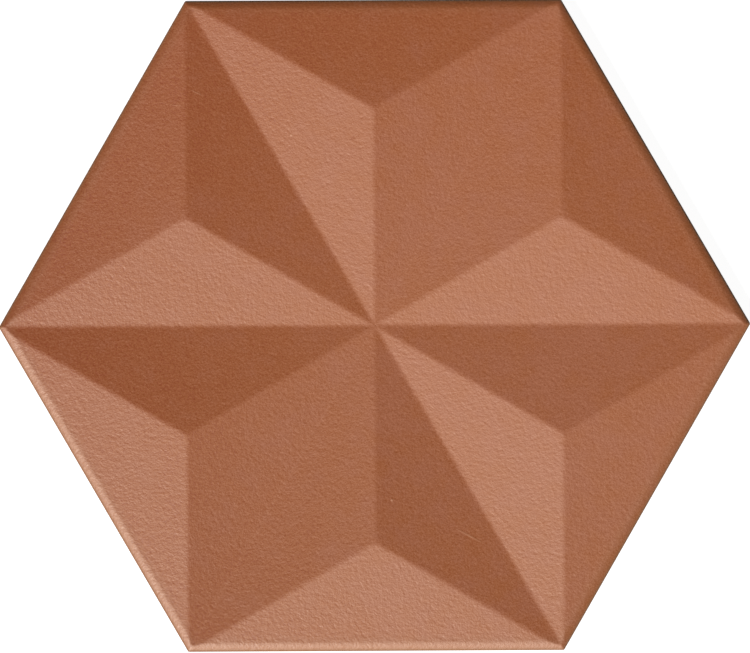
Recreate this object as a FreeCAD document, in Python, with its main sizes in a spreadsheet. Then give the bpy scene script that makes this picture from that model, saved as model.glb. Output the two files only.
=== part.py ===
"""Hexagon relief floor tile, pressed and fired as one piece of stoneware.

The tile lies face up. Z = 0 is its back, the origin is the centre of the back, and one of its corners
lies on +X, so that two of its sides are square to Y. The face is six equal sectors, each with one flat
three-sided peak over the triangle between the centre and two neighbouring corners. The valleys between
the peaks run level from the centre to the corners. Towards each side the face turns down in a soft
shoulder and then in a tighter rounding. The back is flat, with blind grooves that key it to its bed.
All lengths are in millimetres and all angles in degrees.
"""

import FreeCAD
import Part
import math
import os

import Sketcher

# Name, value and meaning of each size; every other length follows from these
SIZES = (
    ("across_flats", 220.0, "width of the tile from side to side"),
    ("valley_thickness", 8.0, "back to the valleys, which the peaks rise from"),
    ("relief_rise", 4.0, "height of each peak above the valleys, before its point is rounded"),
    ("ridge_radius", 8.0, "rounding of the ridges and the point of a peak"),
    ("shoulder_radius", 8.0, "soft turn of the face towards the sides"),
    ("shoulder_slope", 28.0, "slope at which the shoulder gives way to the rim"),
    ("rim_radius", 1.2, "tight rounding from the shoulder into the sides"),
    ("corner_radius", 0.6, "rounding of the upright corners"),
    ("back_bevel", 0.8, "bevel between the sides and the back"),
    ("groove_width", 4.0, "width of a keying groove"),
    ("groove_depth", 0.8, "depth of a keying groove"),
    ("groove_pitch", 11.0, "spacing of the keying grooves"),
    ("groove_border", 10.0, "plain band between the grooves and the sides"),
)
SECTORS = 6
FACETS = 3
SPARE = 1.0  # how far a blank or a cut runs past the surface that it makes
TOUCH = 1e-4  # points nearer than this are the same point

doc = FreeCAD.newDocument("hexagon_tile")
sheet = doc.addObject("Spreadsheet::Sheet", "sizes")
for row, (alias, value, meaning) in enumerate(SIZES, start=1):
    sheet.set(f"A{row}", meaning)
    sheet.set(f"B{row}", str(value))
    sheet.setAlias(f"B{row}", alias)
doc.recompute()

# Lengths and angles that follow from the sheet, as expressions on its cells
FLATS = "<<sizes>>.across_flats"
HALF = f"({FLATS} / 2)"
SIDE = f"({FLATS} / sqrt(3))"
FOOT = "<<sizes>>.valley_thickness"
APEX_Y = f"({FLATS} / 3)"
APEX_Z = f"({FOOT} + <<sizes>>.relief_rise)"
FACET_FALL = f"(<<sizes>>.relief_rise / ({HALF} - {APEX_Y}))"
CLEAR_Y = f"({HALF} + {SPARE})"
CLEAR_Z = f"({APEX_Z} + {SPARE})"

body = doc.addObject("PartDesign::Body", "hexagon_tile")
body.Label = "hexagon_tile"


def origin_feature(role):
    """The plane or axis of the body's own origin that has this role."""
    return next(feature for feature in body.Origin.OriginFeatures if feature.Role == role)


def new_sketch(name, plane):
    """A sketch of the body on one of its origin planes."""
    sketch = body.newObject("Sketcher::SketchObject", name)
    sketch.AttachmentSupport = [(origin_feature(plane), "")]
    sketch.MapMode = "FlatFace"
    return sketch


def bind(sketch, kind, geometry, expression):
    """Adds a constraint of this kind on parts of the sketch, with its value bound to the sheet."""
    value = sketch.evalExpression(expression)
    at = sketch.addConstraint(Sketcher.Constraint(kind, *geometry, value))
    sketch.setExpression(f"Constraints[{at}]", expression)


def arc_between(start, end, radius):
    """The arc of this radius, shorter than half a circle, that runs anticlockwise from start to end."""
    chord = end - start
    across = FreeCAD.Vector(-chord.y, chord.x, 0).normalize()
    centre = (start + end) * 0.5 + across * math.sqrt(radius**2 - (chord.Length / 2) ** 2)
    angles = [math.atan2(point.y - centre.y, point.x - centre.x) for point in (start, end)]
    return Part.ArcOfCircle(Part.Circle(centre, FreeCAD.Vector(0, 0, 1), radius), *angles)


def outline(sketch, points, radii=()):
    """Draws a closed outline through points, each an (x, y) pair of expressions on the sheet.

    radii holds a radius, as an expression, for each side of the outline that is an arc, counted from
    its first point. The other sides are straight.
    """
    first = sketch.GeometryCount
    ends = [FreeCAD.Vector(sketch.evalExpression(x), sketch.evalExpression(y), 0) for x, y in points]
    for i, start in enumerate(ends):
        end = ends[(i + 1) % len(ends)]
        if i < len(radii):
            side = arc_between(start, end, sketch.evalExpression(radii[i]))
        else:
            side = Part.LineSegment(start, end)
        sketch.addGeometry(side, False)
    for i, (x, y) in enumerate(points):
        following = first + (i + 1) % len(ends)
        sketch.addConstraint(Sketcher.Constraint("Coincident", first + i, 2, following, 1))
        bind(sketch, "DistanceX", (-1, 1, first + i, 1), x)
        bind(sketch, "DistanceY", (-1, 1, first + i, 1), y)
    for i, radius in enumerate(radii):
        bind(sketch, "Radius", (first + i,), radius)


def cut(name, sketch, depth=None):
    """Cuts a sketch's outlines out of the whole body, or up to a depth from its back."""
    pocket = body.newObject("PartDesign::Pocket", name)
    pocket.Profile = sketch
    if depth is None:
        pocket.Type = "ThroughAll"
        pocket.SideType = "Symmetric"
    else:
        pocket.Reversed = True
        pocket.setExpression("Length", depth)
    doc.recompute()
    if pocket.Shape.Volume > pocket.BaseFeature.Shape.Volume - TOUCH:
        raise RuntimeError(f"{name} cuts nothing")
    return pocket


def turn(name, axis, copies, feature=None):
    """Repeats one feature, or else the whole body so far, evenly round an axis."""
    pattern = body.newObject("PartDesign::PolarPattern", name)
    if feature is None:
        pattern.TransformMode = "Whole shape"
    else:
        pattern.Originals = [feature]
    pattern.Axis = axis
    pattern.Angle = 360
    pattern.Occurrences = copies
    body.Tip = pattern
    doc.recompute()
    return pattern


def make_peak():
    """Makes one peak, on the +Y side, from a round blank that is taller than the peak."""
    plan = new_sketch("peak_plan", "XY_Plane")
    plan.setExpression("AttachmentOffset.Base.y", APEX_Y)
    circle = plan.addGeometry(Part.Circle(FreeCAD.Vector(), FreeCAD.Vector(0, 0, 1), SPARE), False)
    plan.addConstraint(Sketcher.Constraint("Coincident", circle, 3, -1, 1))
    bind(plan, "Radius", (circle,), f"{APEX_Y} + {SPARE}")
    blank = body.newObject("PartDesign::Pad", "peak_blank")
    blank.Profile = plan
    blank.setExpression("Length", CLEAR_Z)
    doc.recompute()

    profile = new_sketch("facet_profile", "YZ_Plane")
    high = f"({APEX_Z} + {APEX_Y} * {FACET_FALL})"
    low = f"({APEX_Z} - ({FLATS} - {APEX_Y}) * {FACET_FALL})"
    outline(profile, [("0", high), (FLATS, low), (FLATS, high)])
    peak = turn("facets", (plan, ["N_Axis"]), FACETS, cut("facet", profile))

    apex = FreeCAD.Vector(0, body.evalExpression(APEX_Y), body.evalExpression(APEX_Z))
    names = [
        f"Edge{number}"
        for number, edge in enumerate(peak.Shape.Edges, start=1)
        if any(vertex.Point.distanceToPoint(apex) < TOUCH for vertex in edge.Vertexes)
    ]
    ridges = body.newObject("PartDesign::Fillet", "ridges")
    ridges.Base = (peak, names)
    ridges.setExpression("Radius", "<<sizes>>.ridge_radius")
    doc.recompute()


def trim_sector():
    """Trims the blank to the triangle between the centre and two corners of the tile."""
    plan = new_sketch("sector_plan", "XY_Plane")
    back = f"-{FLATS}"
    outline(plan, [("0", "0"), (f"{SIDE} / 2", HALF), (f"-{SIDE} / 2", HALF)])
    outline(plan, [(back, back), (FLATS, back), (FLATS, FLATS), (back, FLATS)])
    cut("sector", plan)


def round_rim():
    """Turns the face down to the side in two arcs, each tangent to what it meets."""
    slope = "<<sizes>>.shoulder_slope"
    soft = "<<sizes>>.shoulder_radius"
    tight = "<<sizes>>.rim_radius"
    fall = f"atan({FACET_FALL})"
    face_y = f"({HALF} - {tight} - ({soft} - {tight}) * sin({slope}) + {soft} * sin({fall}))"
    face_z = f"({FOOT} + ({HALF} - {face_y}) * {FACET_FALL})"
    joint_y = f"({HALF} - {tight} * (1 - sin({slope})))"
    joint_z = f"({face_z} - {soft} * (cos({fall}) - cos({slope})))"
    side_z = f"({joint_z} - {tight} * cos({slope}))"
    profile = new_sketch("rim_profile", "YZ_Plane")
    outline(
        profile,
        [
            (HALF, side_z),
            (joint_y, joint_z),
            (face_y, face_z),
            (face_y, CLEAR_Z),
            (CLEAR_Y, CLEAR_Z),
            (CLEAR_Y, side_z),
        ],
        radii=[tight, soft],
    )
    cut("rim", profile)


def bevel_back():
    """Bevels the side into the back."""
    bevel = "<<sizes>>.back_bevel"
    inner_y = f"({HALF} - {bevel} - {SPARE})"
    profile = new_sketch("bevel_profile", "YZ_Plane")
    outline(profile, [(inner_y, f"-{SPARE}"), (CLEAR_Y, f"-{SPARE}"), (CLEAR_Y, f"{bevel} + {SPARE}")])
    cut("back_bevel", profile)


def cut_grooves():
    """Sinks straight keying grooves into the back, in pairs on both sides of its middle."""
    reach = f"({HALF} - <<sizes>>.groove_border)"
    plan = new_sketch("groove_plan", "XY_Plane")
    row = 0
    while True:
        near = f"(({row} + 0.5) * <<sizes>>.groove_pitch - <<sizes>>.groove_width / 2)"
        far = f"({near} + <<sizes>>.groove_width)"
        if plan.evalExpression(far) > plan.evalExpression(reach):
            break
        near_x = f"((2 * {reach} - {near}) / sqrt(3))"
        far_x = f"((2 * {reach} - {far}) / sqrt(3))"
        for side in ("", "-"):
            outline(
                plan,
                [
                    (f"-{near_x}", f"{side}{near}"),
                    (near_x, f"{side}{near}"),
                    (far_x, f"{side}{far}"),
                    (f"-{far_x}", f"{side}{far}"),
                ],
            )
        row += 1
    cut("grooves", plan, depth="<<sizes>>.groove_depth")


def round_corners():
    """Rounds the upright corners, the one on +X first."""
    radius = "<<sizes>>.corner_radius"
    start_x = f"({SIDE} - {radius} / (2 * sqrt(3)))"
    clear_x = f"({SIDE} + {SPARE})"
    plan = new_sketch("corner_plan", "XY_Plane")
    outline(
        plan,
        [
            (start_x, f"-{radius} / 2"),
            (start_x, f"{radius} / 2"),
            (clear_x, f"{radius} / 2"),
            (clear_x, f"-{radius} / 2"),
        ],
        radii=[radius],
    )
    turn("corners", (origin_feature("Z_Axis"), [""]), SECTORS, cut("corner", plan))


make_peak()
trim_sector()
round_rim()
bevel_back()
turn("sectors", (origin_feature("Z_Axis"), [""]), SECTORS)
cut_grooves()
round_corners()

for item in doc.Objects:
    if "Invalid" in item.State or "Error" in item.State:
        raise RuntimeError(f"{item.Name} is {item.State}")
if body.Shape.isNull() or not body.Shape.isValid() or len(body.Shape.Solids) != 1:
    raise RuntimeError("the tile is not one valid solid")

print(f"{body.Label}: {body.Shape.Volume / 1000:.2f} cm3, {len(body.Shape.Faces)} faces")
os.makedirs("parts", exist_ok=True)
body.Shape.exportStep(f"parts/{body.Label}.step")
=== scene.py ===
"""Looks of the hexagon relief floor tile, seen from straight above under soft studio light.

The tile is one fired piece, modelled here again with a finer skin than its solid has: softened ridges
and valleys, faint waves in the facets, and a matt coloured face over a bare fired body. Its sizes are
those of the solid, in metres.
"""

import logging
import math
from collections.abc import Iterator
from contextlib import contextmanager
from dataclasses import dataclass, field
from enum import Enum
from functools import reduce

import bpy
import numpy as np
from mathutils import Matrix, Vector


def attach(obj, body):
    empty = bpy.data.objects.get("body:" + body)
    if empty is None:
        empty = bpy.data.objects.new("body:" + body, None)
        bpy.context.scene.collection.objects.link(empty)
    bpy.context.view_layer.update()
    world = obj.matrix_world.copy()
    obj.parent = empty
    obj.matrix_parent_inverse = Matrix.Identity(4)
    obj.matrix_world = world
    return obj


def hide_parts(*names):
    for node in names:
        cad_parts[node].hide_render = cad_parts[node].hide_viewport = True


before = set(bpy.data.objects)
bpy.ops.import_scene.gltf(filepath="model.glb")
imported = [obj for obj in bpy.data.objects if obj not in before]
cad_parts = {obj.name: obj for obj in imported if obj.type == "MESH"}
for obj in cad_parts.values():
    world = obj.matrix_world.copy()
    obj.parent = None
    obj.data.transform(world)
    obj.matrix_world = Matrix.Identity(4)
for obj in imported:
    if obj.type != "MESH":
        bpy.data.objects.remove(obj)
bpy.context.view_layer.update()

log = logging.getLogger("hexagon_tile")

MM = 0.001
SAME_PLACE = 1e-6
ACROSS_FLATS = 220.0 * MM
SECTORS = 6
SECTOR_ANGLE = 360 / SECTORS
NOISE_MIDDLE = 0.5
WHITE = (1.0, 1.0, 1.0)
Colour = tuple[float, float, float]
Direction = tuple[float, float, float]

# A colour Mix node has several sockets of each name, so the ones in use are told by their place
MIX_AMOUNT, MIX_FIRST, MIX_SECOND = 0, 6, 7
MIX_RESULT = 2


class Pick(Enum):
    """What an edit-mode step acts on."""

    VERTICES = "VERT"
    EDGES = "EDGE"
    FACES = "FACE"


class SocketKind(Enum):
    """Types of socket on a shared effect."""

    NUMBER = "NodeSocketFloat"
    PLACE = "NodeSocketVector"
    COLOUR = "NodeSocketColor"


# Modelling by hand


@contextmanager
def edit_mode(piece: bpy.types.Object, pick: Pick) -> Iterator[None]:
    """Opens a piece for editing and closes it again.

    Args:
        piece: The mesh object to edit.
        pick: Whether its vertices, edges or faces are picked.

    Returns:
        Nothing; the piece is open inside the with block.
    """
    bpy.context.view_layer.objects.active = piece
    bpy.context.tool_settings.mesh_select_mode = [pick is kind for kind in Pick]
    bpy.ops.object.mode_set(mode="EDIT")
    yield
    bpy.ops.object.mode_set(mode="OBJECT")


def places(piece: bpy.types.Object) -> np.ndarray:
    """Reads where a piece's vertices are.

    Args:
        piece: The mesh object, out of edit mode.

    Returns:
        One row of x, y and z for each vertex.
    """
    flat = np.empty(len(piece.data.vertices) * 3)
    piece.data.vertices.foreach_get("co", flat)
    return flat.reshape(-1, 3)


def face_middles(piece: bpy.types.Object) -> np.ndarray:
    """Reads where the middle of each face of a piece is.

    Args:
        piece: The mesh object, out of edit mode.

    Returns:
        One row of x, y and z for each face.
    """
    flat = np.empty(len(piece.data.polygons) * 3)
    piece.data.polygons.foreach_get("center", flat)
    return flat.reshape(-1, 3)


def pick_none(piece: bpy.types.Object) -> None:
    """Unpicks every vertex, edge and face of a piece."""
    for parts in (piece.data.vertices, piece.data.edges, piece.data.polygons):
        parts.foreach_set("select", np.zeros(len(parts), dtype=bool))


def pick_vertices(piece: bpy.types.Object, chosen: np.ndarray) -> None:
    """Picks the vertices of a piece for which chosen is true, and no others."""
    pick_none(piece)
    piece.data.vertices.foreach_set("select", chosen)


def pick_edges(piece: bpy.types.Object, chosen: np.ndarray) -> None:
    """Picks the edges of a piece whose two ends are both chosen, and no others.

    Args:
        piece: The mesh object, out of edit mode.
        chosen: Whether each of its vertices is chosen.
    """
    ends = np.empty(len(piece.data.edges) * 2, dtype=np.int32)
    piece.data.edges.foreach_get("vertices", ends)
    pick_none(piece)
    piece.data.edges.foreach_set("select", chosen[ends.reshape(-1, 2)].all(axis=1))


def pick_faces(piece: bpy.types.Object, chosen: np.ndarray) -> None:
    """Picks the faces of a piece for which chosen is true, and no others."""
    pick_none(piece)
    piece.data.polygons.foreach_set("select", chosen)


def side_direction(sector: int) -> Vector:
    """Gives the direction in which the side of a sector faces; the first one faces +Y."""
    angle = math.radians(90 + sector * SECTOR_ANGLE)
    return Vector((math.cos(angle), math.sin(angle), 0))


def reach_to_side(spots: np.ndarray) -> np.ndarray:
    """Measures how far out towards the nearest side each spot is.

    Args:
        spots: One row of x, y and z for each spot.

    Returns:
        The distance from the tile's axis, square to the nearest side.
    """
    directions = np.array([side_direction(sector)[:2] for sector in range(SECTORS)])
    return (spots[:, :2] @ directions.T).max(axis=1)


def off_spoke(spots: np.ndarray) -> np.ndarray:
    """Measures how far each spot is from the nearest line that runs from the tile's axis to a corner.

    Args:
        spots: One row of x, y and z for each spot.

    Returns:
        The distance square to that line.
    """
    toward = np.degrees(np.arctan2(spots[:, 1], spots[:, 0]))
    aside = np.radians((toward + SECTOR_ANGLE / 2) % SECTOR_ANGLE - SECTOR_ANGLE / 2)
    return np.hypot(spots[:, 0], spots[:, 1]) * np.abs(np.sin(aside))


# Finishes


@dataclass
class NodeSheet:
    """Adds and joins nodes in one node tree."""

    tree: bpy.types.NodeTree

    def add(self, kind: str, **settings: object) -> bpy.types.Node:
        """Adds a node.

        Args:
            kind: The node's type.
            settings: Its properties, by name.

        Returns:
            The node.
        """
        node = self.tree.nodes.new(kind)
        for name, value in settings.items():
            setattr(node, name, value)
        return node

    def give(self, socket: bpy.types.NodeSocket, value: object) -> None:
        """Joins an input to an output, or sets it to a value.

        Args:
            socket: The input.
            value: An output to join it to, or a number, a row of three numbers or a colour.
        """
        if isinstance(value, bpy.types.NodeSocket):
            self.tree.links.new(value, socket)
        elif socket.type == "RGBA":
            socket.default_value = (*value, 1.0)
        else:
            socket.default_value = value

    def feed(self, node: bpy.types.Node, **values: object) -> bpy.types.Node:
        """Gives values to a node's inputs.

        Args:
            node: The node.
            values: A value or an output for each input, with _ for a space in the input's name.

        Returns:
            The same node.
        """
        for name, value in values.items():
            self.give(node.inputs[name.replace("_", " ")], value)
        return node

    def math(self, operation: str, *terms: object, clamp: bool = False) -> bpy.types.NodeSocket:
        """Works out a sum on numbers that change over the surface.

        Args:
            operation: The operation's name.
            terms: Its terms, as numbers or sockets.
            clamp: Whether the result is kept between nought and one.

        Returns:
            The socket with the result.
        """
        node = self.add("ShaderNodeMath", operation=operation, use_clamp=clamp)
        for socket, term in zip(node.inputs, terms):
            self.give(socket, term)
        return node.outputs["Value"]

    def fold(self, operation: str, terms: list[bpy.types.NodeSocket]) -> bpy.types.NodeSocket:
        """Joins a row of numbers into one, such as their sum or the greatest of them.

        Args:
            operation: The name of the operation on two of them.
            terms: The numbers' sockets.

        Returns:
            The socket with the result.
        """
        return reduce(lambda total, term: self.math(operation, total, term), terms)

    def vector(self, operation: str, *terms: object, scale: object = 1.0) -> bpy.types.NodeSocket:
        """Works out a sum on places or colours that change over the surface.

        Args:
            operation: The operation's name.
            terms: Its terms, as rows of three numbers or sockets.
            scale: What the operation SCALE multiplies by.

        Returns:
            The socket with the result: a number for a length or a dot product, else a row of three.
        """
        node = self.add("ShaderNodeVectorMath", operation=operation)
        for socket, term in zip(node.inputs, terms):
            self.give(socket, term)
        if operation == "SCALE":
            self.give(node.inputs["Scale"], scale)
        return node.outputs["Value" if operation in ("LENGTH", "DOT_PRODUCT") else "Vector"]

    def noise(
        self, place: bpy.types.NodeSocket, size: float, detail: float = 2.0, roughness: float = 0.5
    ) -> bpy.types.NodeSocket:
        """Adds a cloudy pattern.

        Args:
            place: Where on the object the pattern is read.
            size: The width of its patches in metres.
            detail: How many finer patterns lie on the coarse one.
            roughness: How strong the finer ones are.

        Returns:
            The socket with the pattern, around one half.
        """
        node = self.add("ShaderNodeTexNoise", noise_dimensions="3D")
        self.feed(node, Vector=place, Scale=1 / size, Detail=detail, Roughness=roughness)
        return node.outputs["Fac"]

    def remap(
        self, value: bpy.types.NodeSocket, low: float, high: float, to_low: float, to_high: float
    ) -> bpy.types.NodeSocket:
        """Maps one range onto another, with a soft start and end.

        Args:
            value: The value to map.
            low: The start of its range.
            high: The end of its range.
            to_low: What the start becomes.
            to_high: What the end becomes.

        Returns:
            The socket with the mapped value.
        """
        node = self.add("ShaderNodeMapRange", interpolation_type="SMOOTHSTEP")
        self.feed(node, Value=value, From_Min=low, From_Max=high, To_Min=to_low, To_Max=to_high)
        return node.outputs["Result"]

    def blend(self, amount: object, first: object, second: object) -> bpy.types.NodeSocket:
        """Blends two colours.

        Args:
            amount: How much of the second colour there is.
            first: The colour underneath.
            second: The colour on top.

        Returns:
            The socket with the blend.
        """
        node = self.add("ShaderNodeMix", data_type="RGBA")
        self.give(node.inputs[MIX_AMOUNT], amount)
        self.give(node.inputs[MIX_FIRST], first)
        self.give(node.inputs[MIX_SECOND], second)
        return node.outputs[MIX_RESULT]


@dataclass
class SharedEffect:
    """A surface effect that is built once as a node group and then placed in each finish."""

    name: str = ""
    inputs: tuple[tuple[str, SocketKind], ...] = ()
    outputs: tuple[tuple[str, SocketKind], ...] = ()

    def wire(self, sheet: NodeSheet, given: bpy.types.Node, result: bpy.types.Node) -> None:
        """Joins the nodes between the group's inputs and outputs; each effect has its own.

        Args:
            sheet: The group's nodes.
            given: The node that holds the group's inputs.
            result: The node that takes its outputs.
        """
        raise NotImplementedError

    def group(self) -> bpy.types.NodeTree:
        """Makes the node group, or finds it if it has been made.

        Returns:
            The node group.
        """
        made = bpy.data.node_groups.get(self.name)
        if made is not None:
            return made
        tree = bpy.data.node_groups.new(self.name, "ShaderNodeTree")
        for name, kind in self.inputs:
            tree.interface.new_socket(name, in_out="INPUT", socket_type=kind.value)
        for name, kind in self.outputs:
            tree.interface.new_socket(name, in_out="OUTPUT", socket_type=kind.value)
        sheet = NodeSheet(tree)
        self.wire(sheet, sheet.add("NodeGroupInput"), sheet.add("NodeGroupOutput"))
        return tree

    def place_in(self, sheet: NodeSheet, **values: object) -> bpy.types.Node:
        """Places the effect in a finish.

        Args:
            sheet: The finish's nodes.
            values: Values for the effect's inputs.

        Returns:
            The group's node, with the effect's outputs.
        """
        node = sheet.add("ShaderNodeGroup", node_tree=self.group())
        return sheet.feed(node, **values)


@dataclass
class FiredGrain(SharedEffect):
    """The fine leathery grain of a pressed and fired surface."""

    name: str = "fired_grain"
    inputs: tuple[tuple[str, SocketKind], ...] = (
        ("Place", SocketKind.PLACE),
        ("Pitting", SocketKind.NUMBER),
    )
    outputs: tuple[tuple[str, SocketKind], ...] = (
        ("Height", SocketKind.NUMBER),
        ("Tone", SocketKind.NUMBER),
    )
    ripple_size: float = 1.4 * MM
    ripple_detail: float = 1.0
    ripple_share: float = 0.9
    grit_size: float = 0.55 * MM
    grit_detail: float = 1.5
    grit_roughness: float = 0.6
    grit_share: float = 0.7
    pit_size: float = 1.9 * MM
    pit_softness: float = 0.6
    pit_floor: float = 0.08
    pit_rim: float = 0.42

    def wire(self, sheet: NodeSheet, given: bpy.types.Node, result: bpy.types.Node) -> None:
        """Joins a rippled skin, fine grit and small pits into one height, and the grit into a tone.

        Args:
            sheet: The group's nodes.
            given: The node that holds the group's inputs.
            result: The node that takes its outputs.
        """
        place = given.outputs["Place"]
        ripple = sheet.noise(place, self.ripple_size, self.ripple_detail)
        grit = sheet.noise(place, self.grit_size, self.grit_detail, self.grit_roughness)
        cells = sheet.add("ShaderNodeTexVoronoi", feature="SMOOTH_F1")
        sheet.feed(cells, Vector=place, Scale=1 / self.pit_size, Smoothness=self.pit_softness)
        pits = sheet.remap(cells.outputs["Distance"], self.pit_floor, self.pit_rim, -1.0, 0.0)
        rippled = sheet.math("MULTIPLY", ripple, self.ripple_share)
        skin = sheet.math("MULTIPLY_ADD", grit, self.grit_share, rippled)
        height = sheet.math("MULTIPLY_ADD", pits, given.outputs["Pitting"], skin)
        sheet.feed(result, Height=height, Tone=sheet.math("SUBTRACT", grit, NOISE_MIDDLE))


@dataclass
class RimShade(SharedEffect):
    """A soft band along the sides and a dull line at the rim: partly worn face, partly painted shade."""

    name: str = "rim_shade"
    inputs: tuple[tuple[str, SocketKind], ...] = (("Place", SocketKind.PLACE),)
    outputs: tuple[tuple[str, SocketKind], ...] = (
        ("Band", SocketKind.NUMBER),
        ("Line", SocketKind.NUMBER),
    )
    half: float = ACROSS_FLATS / 2
    band_start: float = 1.0 * MM
    band_end: float = 6.0 * MM
    line_start: float = 0.3 * MM
    line_end: float = 1.2 * MM

    def wire(self, sheet: NodeSheet, given: bpy.types.Node, result: bpy.types.Node) -> None:
        """Takes the greatest reach towards the three pairs of sides, then maps it onto both masks.

        Args:
            sheet: The group's nodes.
            given: The node that holds the group's inputs.
            result: The node that takes its outputs.
        """
        # These masks darken the face colour near the rim: partly wear of the face, partly painted shade.
        reaches = []
        for sector in range(SECTORS // 2):
            along = sheet.vector("DOT_PRODUCT", given.outputs["Place"], side_direction(sector))
            reaches.append(sheet.math("ABSOLUTE", along))
        reach = sheet.fold("MAXIMUM", reaches)
        band = sheet.remap(reach, self.half - self.band_end, self.half - self.band_start, 0.0, 1.0)
        line = sheet.remap(reach, self.half - self.line_end, self.half - self.line_start, 0.0, 1.0)
        sheet.feed(result, Band=band, Line=line)


@dataclass
class KilnBlush(SharedEffect):
    """The fire's uneven colour: rosy and ochre patches, a fine grain of tone, a slow drift across the
    tile, and a chalkier side. The chalk's tint is added to the colour, so it may take some red away.
    """

    name: str = "kiln_blush"
    inputs: tuple[tuple[str, SocketKind], ...] = (
        ("Place", SocketKind.PLACE),
        ("Clay", SocketKind.COLOUR),
        ("Rosy", SocketKind.COLOUR),
        ("Ochre", SocketKind.COLOUR),
        ("Pale", SocketKind.COLOUR),
        ("Tone", SocketKind.NUMBER),
        ("Grain", SocketKind.NUMBER),
        ("Bloom", SocketKind.NUMBER),
        ("Drift", SocketKind.PLACE),
        ("Fade", SocketKind.NUMBER),
        ("Chalk", SocketKind.NUMBER),
    )
    outputs: tuple[tuple[str, SocketKind], ...] = (
        ("Colour", SocketKind.COLOUR),
        ("Shift", SocketKind.NUMBER),
    )
    patch_size: float = 9.0 * MM
    patch_detail: float = 3.0
    patch_roughness: float = 0.6
    patch_share: float = 0.6
    cloud_size: float = 45.0 * MM
    cloud_share: float = 0.4
    rosy_range: tuple[float, float] = (0.48, 0.62)
    ochre_range: tuple[float, float] = (0.38, 0.52)
    half: float = ACROSS_FLATS / 2
    chalky_side: Direction = (0.0, -1.0, 0.0)
    chalk_tint: Colour = (-0.3, 1.0, 0.95)
    darkest: Colour = (0.002, 0.002, 0.002)

    def wire(self, sheet: NodeSheet, given: bpy.types.Node, result: bpy.types.Node) -> None:
        """Tints the clay in patches and in wide clouds, then makes it paler or darker across the tile,
        patch by patch and grain by grain, and chalkier towards one side.

        Args:
            sheet: The group's nodes.
            given: The node that holds the group's inputs.
            result: The node that takes its outputs.
        """
        place = given.outputs["Place"]
        patches = sheet.noise(place, self.patch_size, self.patch_detail, self.patch_roughness)
        clouds = sheet.math("MULTIPLY", sheet.noise(place, self.cloud_size), self.cloud_share)
        mixed = sheet.math("MULTIPLY_ADD", patches, self.patch_share, clouds)
        rosy = sheet.remap(mixed, *self.rosy_range, 0.0, 1.0)
        ochre = sheet.remap(mixed, *self.ochre_range, 1.0, 0.0)
        tinted = sheet.blend(rosy, given.outputs["Clay"], given.outputs["Rosy"])
        tinted = sheet.blend(ochre, tinted, given.outputs["Ochre"])
        centred = sheet.math("SUBTRACT", mixed, NOISE_MIDDLE)
        blooming = sheet.math("MULTIPLY", centred, given.outputs["Bloom"])
        speckled = sheet.math("MULTIPLY_ADD", given.outputs["Tone"], given.outputs["Grain"], blooming)
        spot = sheet.vector("SCALE", place, scale=1 / self.half)
        leaning = sheet.vector("DOT_PRODUCT", spot, given.outputs["Drift"])
        outward = sheet.math("POWER", sheet.vector("LENGTH", spot), 2.0)
        shift = sheet.math("SUBTRACT", leaning, sheet.math("MULTIPLY", outward, given.outputs["Fade"]))
        paler = sheet.math("ADD", speckled, shift)
        colour = sheet.vector("ADD", tinted, sheet.vector("SCALE", given.outputs["Pale"], scale=paler))
        toward_chalk = sheet.vector("DOT_PRODUCT", spot, self.chalky_side)
        chalky = sheet.math("MULTIPLY", toward_chalk, given.outputs["Chalk"])
        colour = sheet.vector("ADD", colour, sheet.vector("SCALE", self.chalk_tint, scale=chalky))
        sheet.feed(result, Colour=sheet.vector("MAXIMUM", colour, self.darkest), Shift=shift)


@dataclass(frozen=True)
class Mark:
    """A small mark on the face: the place of its middle, its length and width, how many degrees it is
    turned from +X, and how strong it is.
    """

    x: float
    y: float
    length: float
    width: float
    turned: float = 0.0
    strength: float = 1.0


@dataclass
class FaceMarks(SharedEffect):
    """Fine scratches and specks on the face, each at its own place."""

    name: str = "face_marks"
    inputs: tuple[tuple[str, SocketKind], ...] = (("Place", SocketKind.PLACE),)
    outputs: tuple[tuple[str, SocketKind], ...] = (("Mask", SocketKind.NUMBER),)
    marks: tuple[Mark, ...] = (
        Mark(x=-59.8 * MM, y=79.0 * MM, length=6.0 * MM, width=0.6 * MM, turned=-27, strength=0.7),
        Mark(x=-67.0 * MM, y=74.8 * MM, length=7.0 * MM, width=0.5 * MM, turned=-5, strength=0.5),
        Mark(x=-76.0 * MM, y=44.8 * MM, length=12.0 * MM, width=0.6 * MM, turned=-33, strength=0.3),
        Mark(x=31.8 * MM, y=-71.2 * MM, length=13.0 * MM, width=0.8 * MM, turned=-28, strength=0.9),
        Mark(x=5.6 * MM, y=-58.9 * MM, length=1.1 * MM, width=1.0 * MM, strength=1.5),
        Mark(x=-27.8 * MM, y=64.5 * MM, length=1.1 * MM, width=1.0 * MM, strength=1.5),
    )
    no_height: Direction = (1.0, 1.0, 0.0)

    def wire(self, sheet: NodeSheet, given: bpy.types.Node, result: bpy.types.Node) -> None:
        """Lays a soft spot over each mark's place, stretched and turned to its shape.

        Args:
            sheet: The group's nodes.
            given: The node that holds the group's inputs.
            result: The node that takes its outputs.
        """
        flat = sheet.vector("MULTIPLY", given.outputs["Place"], self.no_height)
        shapes = []
        for mark in self.marks:
            spot = sheet.add("ShaderNodeMapping", vector_type="TEXTURE")
            sheet.feed(
                spot,
                Vector=flat,
                Location=(mark.x, mark.y, 0.0),
                Rotation=(0.0, 0.0, math.radians(mark.turned)),
                Scale=(mark.length / 2, mark.width / 2, 1.0),
            )
            fade = sheet.add("ShaderNodeTexGradient", gradient_type="SPHERICAL")
            sheet.feed(fade, Vector=spot.outputs["Vector"])
            shapes.append(sheet.math("MULTIPLY", fade.outputs["Fac"], mark.strength))
        sheet.feed(result, Mask=sheet.fold("MAXIMUM", shapes))


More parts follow.
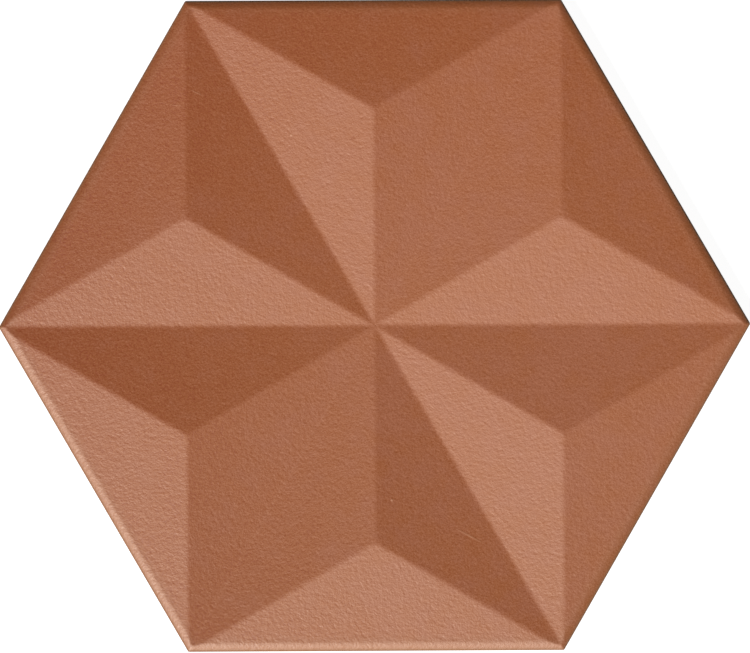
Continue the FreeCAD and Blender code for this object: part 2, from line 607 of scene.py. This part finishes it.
@dataclass(frozen=True)
class FiredFinish:
    """A fired surface of the tile: colours, gloss, grain, and a rim darkened by wear and painted shade.

    What is called shade changes the colour, and what is called dulling changes the roughness.
    """

    name: str
    clay: Colour
    rosy: Colour
    ochre: Colour
    roughness: float
    gloss: float
    grain_depth: float
    pitting: float
    tone_grain: float
    bloom: float
    tone_dulling: float = 0.25
    drift: tuple[float, float] = (0.0, 0.0)
    fade: float = 0.0
    shift_dulling: float = 0.0
    chalk: float = 0.0
    # The band and the line darken the rim: partly wear of the face, partly painted shade
    band_shade: float = 0.0
    band_dulling: float = 0.0
    line_shade: float = 0.0
    line_dulling: float = 0.0
    marked: bool = False
    pale: Colour = (1.0, 0.58, 0.42)
    line_colour: Colour = (0.25, 0.19, 0.08)
    gloss_tint: Colour = (1.0, 0.85, 0.7)
    refraction: float = 1.92
    mark_colour: Colour = (0.70, 0.28, 0.13)
    mark_strength: float = 0.8
    mark_relief: float = 0.6

    def material(self) -> bpy.types.Material:
        """Makes the material.

        Returns:
            The material, with its colour, roughness and grain from its nodes.
        """
        made = bpy.data.materials.new(self.name)
        made.use_nodes = True
        made.diffuse_color = (*self.clay, 1.0)
        sheet = NodeSheet(made.node_tree)
        shader = made.node_tree.nodes["Principled BSDF"]
        place = sheet.add("ShaderNodeTexCoord").outputs["Object"]
        grain = FiredGrain().place_in(sheet, Place=place, Pitting=self.pitting)
        blush = KilnBlush().place_in(
            sheet,
            Place=place,
            Clay=self.clay,
            Rosy=self.rosy,
            Ochre=self.ochre,
            Pale=self.pale,
            Tone=grain.outputs["Tone"],
            Grain=self.tone_grain,
            Bloom=self.bloom,
            Drift=(*self.drift, 0.0),
            Fade=self.fade,
            Chalk=self.chalk,
        )
        rim = RimShade().place_in(sheet, Place=place)
        # Band and line darken the rim: partly the face worn towards the bare body, partly painted shade
        rim_band_and_painted_shade = sheet.math("MULTIPLY", rim.outputs["Band"], self.band_shade)
        worn_and_painted_shade = sheet.math("MULTIPLY_ADD", rim.outputs["Line"], self.line_shade, rim_band_and_painted_shade)
        colour = sheet.blend(worn_and_painted_shade, blush.outputs["Colour"], self.line_colour)
        height = grain.outputs["Height"]
        if self.marked:
            marks = FaceMarks().place_in(sheet, Place=place)
            amount = sheet.math("MULTIPLY", marks.outputs["Mask"], self.mark_strength, clamp=True)
            colour = sheet.blend(amount, colour, self.mark_colour)
            height = sheet.math("MULTIPLY_ADD", marks.outputs["Mask"], self.mark_relief, height)
        dull = sheet.math("MULTIPLY_ADD", rim.outputs["Line"], self.line_dulling, self.roughness)
        dull = sheet.math("MULTIPLY_ADD", rim.outputs["Band"], self.band_dulling, dull)
        dull = sheet.math("MULTIPLY_ADD", blush.outputs["Shift"], self.shift_dulling, dull)
        rough = sheet.math("MULTIPLY_ADD", grain.outputs["Tone"], self.tone_dulling, dull, clamp=True)
        bump = sheet.add("ShaderNodeBump")
        sheet.feed(bump, Height=height, Distance=self.grain_depth, Strength=1.0)
        sheet.feed(shader, Base_Color=colour, Roughness=rough, Normal=bump.outputs["Normal"])
        sheet.feed(shader, IOR=self.refraction, Specular_IOR_Level=self.gloss)
        sheet.feed(shader, Specular_Tint=self.gloss_tint)
        return made


MATT_FACE = FiredFinish(
    name="matt_terracotta_face",
    clay=(0.5100, 0.1185, 0.0215),
    rosy=(0.5030, 0.1185, 0.0290),
    ochre=(0.5170, 0.1185, 0.0150),
    roughness=0.56,
    gloss=1.0,
    grain_depth=0.075 * MM,
    pitting=0.25,
    tone_grain=0.21,
    bloom=0.13,
    drift=(0.036, 0.013),
    fade=0.027,
    shift_dulling=0.90,
    chalk=0.0080,
    # Band and line shades darken the rim: partly wear, partly painted shade
    band_shade=0.12,
    band_dulling=0.03,
    line_shade=0.25,
    line_dulling=0.08,
    marked=True,
)
BARE_BODY = FiredFinish(
    name="bare_fired_body",
    clay=(0.450, 0.178, 0.089),
    rosy=(0.460, 0.188, 0.105),
    ochre=(0.460, 0.199, 0.094),
    roughness=0.82,
    gloss=0.2,
    grain_depth=0.06 * MM,
    pitting=0.6,
    tone_grain=0.15,
    bloom=0.15,
)


# The tile


@dataclass
class ReliefTile:
    """The tile itself: face, rim, sides and grooved back in one closed skin."""

    node: str = "hexagon_tile"
    slot: str = "terracotta"
    body: str = "root"
    face: FiredFinish = MATT_FACE
    bare: FiredFinish = BARE_BODY
    piece: bpy.types.Object | None = field(default=None, init=False)

    # Sizes of the solid
    across_flats: float = ACROSS_FLATS
    valley_thickness: float = 8.0 * MM
    relief_rise: float = 4.0 * MM
    shoulder_radius: float = 8.0 * MM
    shoulder_slope: float = math.radians(28)
    rim_radius: float = 1.2 * MM
    corner_radius: float = 0.6 * MM
    back_bevel: float = 0.8 * MM
    groove_width: float = 4.0 * MM
    groove_depth: float = 0.8 * MM
    groove_pitch: float = 11.0 * MM
    groove_border: float = 10.0 * MM

    # How finely the skin is drawn
    facet_cuts: int = 79
    shoulder_steps: int = 6
    rim_steps: int = 10
    corner_steps: int = 4
    corner_reach: float = 0.01 * MM
    crease: float = math.radians(30)

    # How the press leaves the face: softened ridges, valleys and points, and faint waves
    softening: float = 0.5
    ridge_passes: int = 1
    valley_passes: int = 2
    valley_width: float = 3.0 * MM
    point_drop: float = 0.15 * MM
    wave_size: float = 16.0 * MM
    wave_detail: int = 1
    wave_height: float = 0.05 * MM

    @property
    def half(self) -> float:
        """The distance from the tile's axis to a side."""
        return self.across_flats / 2

    @property
    def fall(self) -> float:
        """The slope of a facet, whose peak stands a third of the way in from the side."""
        return math.atan(self.relief_rise / (self.half / 3))

    def rim_line(self) -> list[tuple[float, float]]:
        """Works out the section of the face's edge.

        Returns:
            Pairs of the distance in from the side and the height, from the flat of the face to the side.
        """
        soft, tight, slope, fall = self.shoulder_radius, self.rim_radius, self.shoulder_slope, self.fall
        start_in = tight + (soft - tight) * math.sin(slope) - soft * math.sin(fall)
        start_up = self.valley_thickness + start_in * math.tan(fall)
        joint_up = start_up - soft * (math.cos(fall) - math.cos(slope))
        line = []
        for step in range(self.shoulder_steps + 1):
            angle = fall + (slope - fall) * step / self.shoulder_steps
            inward = start_in - soft * (math.sin(angle) - math.sin(fall))
            line.append((inward, start_up - soft * (math.cos(fall) - math.cos(angle))))
        for step in range(1, self.rim_steps + 1):
            angle = slope + (math.pi / 2 - slope) * step / self.rim_steps
            inward = tight * (1 - math.sin(angle))
            line.append((inward, joint_up - tight * (math.cos(slope) - math.cos(angle))))
        return line

    def build(self) -> None:
        """Models the tile, dresses it and hangs it on the frame."""
        self.raise_peaks()
        self.soften_face()
        self.turn_down_rim()
        self.close_back()
        self.cut_grooves()
        self.round_corners()
        self.finish_mesh()
        self.dress()
        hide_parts(self.node)
        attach(self.piece, self.body)
        log.info("%s: %d faces", self.piece.name, len(self.piece.data.polygons))

    def raise_peaks(self) -> None:
        """Starts from a flat hexagon and raises a three-sided peak in each of its six sectors."""
        bpy.ops.object.select_all(action="DESELECT")
        bpy.ops.mesh.primitive_circle_add(
            vertices=SECTORS,
            radius=self.across_flats / math.sqrt(3),
            fill_type="NGON",
            location=(0, 0, self.valley_thickness),
            rotation=(0, 0, math.radians(SECTOR_ANGLE / 2)),
        )
        self.piece = bpy.context.object
        self.piece.name = "relief_tile"
        self.piece.data.name = "relief_tile"
        bpy.ops.object.transform_apply(location=True, rotation=True, scale=True)
        with edit_mode(self.piece, Pick.FACES):
            bpy.ops.mesh.select_all(action="SELECT")
            bpy.ops.mesh.poke(offset=0.0, center_mode="MEDIAN")
            bpy.ops.mesh.poke(offset=self.relief_rise, use_relative_offset=False, center_mode="MEDIAN")
            bpy.ops.mesh.subdivide(number_cuts=self.facet_cuts)

    def soften_face(self) -> None:
        """Rounds the ridges, valleys and points of the peaks slightly, and lets the facets wave faintly."""
        spots = places(self.piece)
        inside = reach_to_side(spots) < self.half - SAME_PLACE
        in_valley = inside & (off_spoke(spots) < self.valley_width / 2)
        at_point = spots[:, 2] > spots[:, 2].max() - self.point_drop
        for chosen, passes in ((inside, self.ridge_passes), (in_valley | at_point, self.valley_passes)):
            pick_vertices(self.piece, chosen)
            with edit_mode(self.piece, Pick.VERTICES):
                bpy.ops.mesh.vertices_smooth(
                    factor=self.softening, repeat=passes, xaxis=False, yaxis=False, zaxis=True
                )
        waves = bpy.data.textures.new("face_waves", "CLOUDS")
        waves.noise_scale = self.wave_size
        waves.noise_depth = self.wave_detail
        settle = self.piece.modifiers.new("face_waves", "DISPLACE")
        settle.texture = waves
        settle.texture_coords = "LOCAL"
        settle.direction = "Z"
        settle.strength = self.wave_height
        # With its middle at one, the pattern only lowers the face, which stays inside the solid
        settle.mid_level = 1.0
        bpy.ops.object.modifier_apply(modifier=settle.name)

    def turn_down_rim(self) -> None:
        """Cuts the face back to where its shoulder starts, then draws the rim out and down ring by ring."""
        line = self.rim_line()
        start_in = line[0][0]
        with edit_mode(self.piece, Pick.VERTICES):
            for sector in range(SECTORS):
                outward = side_direction(sector)
                bpy.ops.mesh.select_all(action="SELECT")
                bpy.ops.mesh.bisect(
                    plane_co=outward * (self.half - start_in),
                    plane_no=outward,
                    clear_outer=True,
                    threshold=SAME_PLACE,
                )
            bpy.ops.mesh.select_all(action="SELECT")
            bpy.ops.mesh.remove_doubles(threshold=SAME_PLACE)
        for (inward, _), (next_inward, height) in zip(line, line[1:]):
            self.draw_out_ring((self.half - next_inward) / (self.half - inward))
            spots = places(self.piece)
            on_ring = reach_to_side(spots) > self.half - next_inward - SAME_PLACE
            pick_vertices(self.piece, on_ring & (spots[:, 2] > height))
            with edit_mode(self.piece, Pick.VERTICES):
                bpy.ops.transform.resize(value=(1, 1, 0), center_override=(0, 0, height))

    def draw_out_ring(self, growth: float, drop: float = 0.0) -> None:
        """Extrudes the skin's open edge into a new ring.

        Args:
            growth: How many times as wide the new ring is.
            drop: How much lower it is.
        """
        pick_none(self.piece)
        with edit_mode(self.piece, Pick.EDGES):
            bpy.ops.mesh.select_non_manifold(
                extend=False,
                use_wire=False,
                use_boundary=True,
                use_multi_face=False,
                use_non_contiguous=False,
                use_verts=False,
            )
            bpy.ops.mesh.extrude_edges_move(TRANSFORM_OT_translate={"value": (0, 0, -drop)})
            bpy.ops.transform.resize(value=(growth, growth, 1), center_override=(0, 0, 0))

    def close_back(self) -> None:
        """Draws the sides down, bevels them into the back and closes it."""
        side_top = self.rim_line()[-1][1]
        self.draw_out_ring(1.0, side_top - self.back_bevel)
        self.draw_out_ring((self.half - self.back_bevel) / self.half, self.back_bevel)
        low = places(self.piece)[:, 2] < SAME_PLACE
        pick_edges(self.piece, low)
        with edit_mode(self.piece, Pick.EDGES):
            bpy.ops.mesh.edge_face_add()

    def cut_grooves(self) -> None:
        """Sinks the straight keying grooves into the back."""
        plain = self.half - self.groove_border
        rows = int((plain - self.groove_width / 2) / self.groove_pitch + 0.5)
        middles = [sign * (row + 0.5) * self.groove_pitch for row in range(rows) for sign in (-1, 1)]
        pick_faces(self.piece, face_middles(self.piece)[:, 2] < SAME_PLACE)
        with edit_mode(self.piece, Pick.FACES):
            bpy.ops.mesh.extrude_region_move(TRANSFORM_OT_translate={"value": (0, 0, 0)})
            shrink = plain / (self.half - self.back_bevel)
            bpy.ops.transform.resize(value=(shrink, shrink, 1), center_override=(0, 0, 0))
            bpy.ops.mesh.hide(unselected=True)
            for middle in middles:
                for wall in (middle - self.groove_width / 2, middle + self.groove_width / 2):
                    bpy.ops.mesh.select_all(action="SELECT")
                    bpy.ops.mesh.bisect(plane_co=(0, wall, 0), plane_no=(0, 1, 0), threshold=SAME_PLACE)
            bpy.ops.mesh.reveal(select=False)
        spots = face_middles(self.piece)
        off_middle = np.abs(spots[:, 1:2] - np.array(middles)).min(axis=1)
        in_back = (spots[:, 2] < SAME_PLACE) & (reach_to_side(spots) < plain)
        pick_faces(self.piece, in_back & (off_middle < self.groove_width / 2))
        with edit_mode(self.piece, Pick.FACES):
            bpy.ops.mesh.extrude_region_move(TRANSFORM_OT_translate={"value": (0, 0, self.groove_depth)})

    def round_corners(self) -> None:
        """Rounds the six upright corners, each of 120 degrees, so a round starts radius / sqrt(3) away."""
        spots = places(self.piece)
        near_side = reach_to_side(spots) > self.half - self.rim_radius
        pick_edges(self.piece, near_side & (off_spoke(spots) < self.corner_reach))
        with edit_mode(self.piece, Pick.EDGES):
            bpy.ops.mesh.bevel(
                offset=self.corner_radius / math.sqrt(3),
                segments=self.corner_steps,
                profile=0.5,
                affect="EDGES",
            )

    def finish_mesh(self) -> None:
        """Merges doubles, turns all faces outwards and shades the skin."""
        with edit_mode(self.piece, Pick.FACES):
            bpy.ops.mesh.select_all(action="SELECT")
            bpy.ops.mesh.remove_doubles(threshold=SAME_PLACE)
            bpy.ops.mesh.normals_make_consistent(inside=False)
        bpy.ops.object.shade_smooth_by_angle(angle=self.crease)

    def dress(self) -> None:
        """Gives the face and rim the matt finish, and leaves the sides and the back bare."""
        side_top = self.rim_line()[-1][1]
        self.piece.data.materials.append(self.face.material())
        self.piece.data.materials.append(self.bare.material())
        is_bare = face_middles(self.piece)[:, 2] < side_top
        self.piece.data.polygons.foreach_set("material_index", is_bare.astype(np.int32))


# The studio


@dataclass
class Studio:
    """A pale floor, a soft key light from the lower left and an even fill."""

    floor_width: float = 6.0
    floor_shade: float = 0.50
    floor_roughness: float = 0.9
    floor_gloss: float = 0.1
    floor_glow: float = 0.96
    key_azimuth: float = math.radians(240)
    key_elevation: float = math.radians(45)
    key_distance: float = 2.0
    key_strength: float = 3.10
    key_softness: float = math.radians(20)
    fill_strength: float = 0.02

    def build(self) -> None:
        """Sets up the floor and the lights, and has their colours shown plainly."""
        self.lay_floor()
        self.hang_key()
        self.fill()
        bpy.context.scene.view_settings.view_transform = "Standard"
        log.info("studio: key light and even fill")

    def lay_floor(self) -> None:
        """Lays the plain pale floor under the tile; its glow is for the camera and lights nothing."""
        bpy.ops.object.select_all(action="DESELECT")
        bpy.ops.mesh.primitive_plane_add(size=self.floor_width, location=(0, 0, 0))
        floor = bpy.context.object
        floor.name = "studio_floor"
        paint = bpy.data.materials.new("pale_floor")
        paint.use_nodes = True
        shader = paint.node_tree.nodes["Principled BSDF"]
        sheet = NodeSheet(paint.node_tree)
        sheet.feed(shader, Base_Color=(self.floor_shade,) * 3, Roughness=self.floor_roughness)
        sheet.feed(shader, Specular_IOR_Level=self.floor_gloss)
        seen = sheet.add("ShaderNodeLightPath").outputs["Is Camera Ray"]
        glow = sheet.math("MULTIPLY", seen, self.floor_glow)
        sheet.feed(shader, Emission_Color=WHITE, Emission_Strength=glow)
        floor.data.materials.append(paint)

    def hang_key(self) -> None:
        """Hangs the key light, turned towards the tile."""
        toward = Vector(
            (
                math.cos(self.key_azimuth) * math.cos(self.key_elevation),
                math.sin(self.key_azimuth) * math.cos(self.key_elevation),
                math.sin(self.key_elevation),
            )
        )
        bpy.ops.object.light_add(type="SUN", location=toward * self.key_distance)
        key = bpy.context.object
        key.name = "key_light"
        key.rotation_euler = toward.to_track_quat("Z", "Y").to_euler()
        key.data.energy = self.key_strength
        key.data.angle = self.key_softness

    def fill(self) -> None:
        """Fills the shadows evenly from all round."""
        world = bpy.data.worlds.new("studio_fill")
        world.use_nodes = True
        background = world.node_tree.nodes["Background"]
        NodeSheet(world.node_tree).feed(background, Color=WHITE, Strength=self.fill_strength)
        bpy.context.scene.world = world


@dataclass
class OverheadCamera:
    """The photo's view: straight down, with the tile filling the frame."""

    frame_width: float = 253.8 * MM
    lens: float = 400.0
    sensor: float = 36.0
    aim_x: float = 0.13 * MM
    aim_y: float = -0.34 * MM
    aim_z: float = 3.0 * MM
    roll: float = math.radians(-0.29)

    def build(self) -> None:
        """Places the camera and makes it the scene's own."""
        distance = self.frame_width * self.lens / self.sensor
        bpy.ops.object.camera_add(
            location=(self.aim_x, self.aim_y, self.aim_z + distance), rotation=(0, 0, self.roll)
        )
        camera = bpy.context.object
        camera.name = "overhead_camera"
        camera.data.lens = self.lens
        camera.data.sensor_width = self.sensor
        bpy.context.scene.camera = camera
        log.info("camera: %.2f m above the tile", distance)


def main() -> None:
    """Builds the tile, the studio and the camera, in that order."""
    logging.basicConfig(level=logging.INFO, format="%(name)s: %(message)s")
    ReliefTile().build()
    Studio().build()
    OverheadCamera().build()


if __name__ == "__main__":
    main()
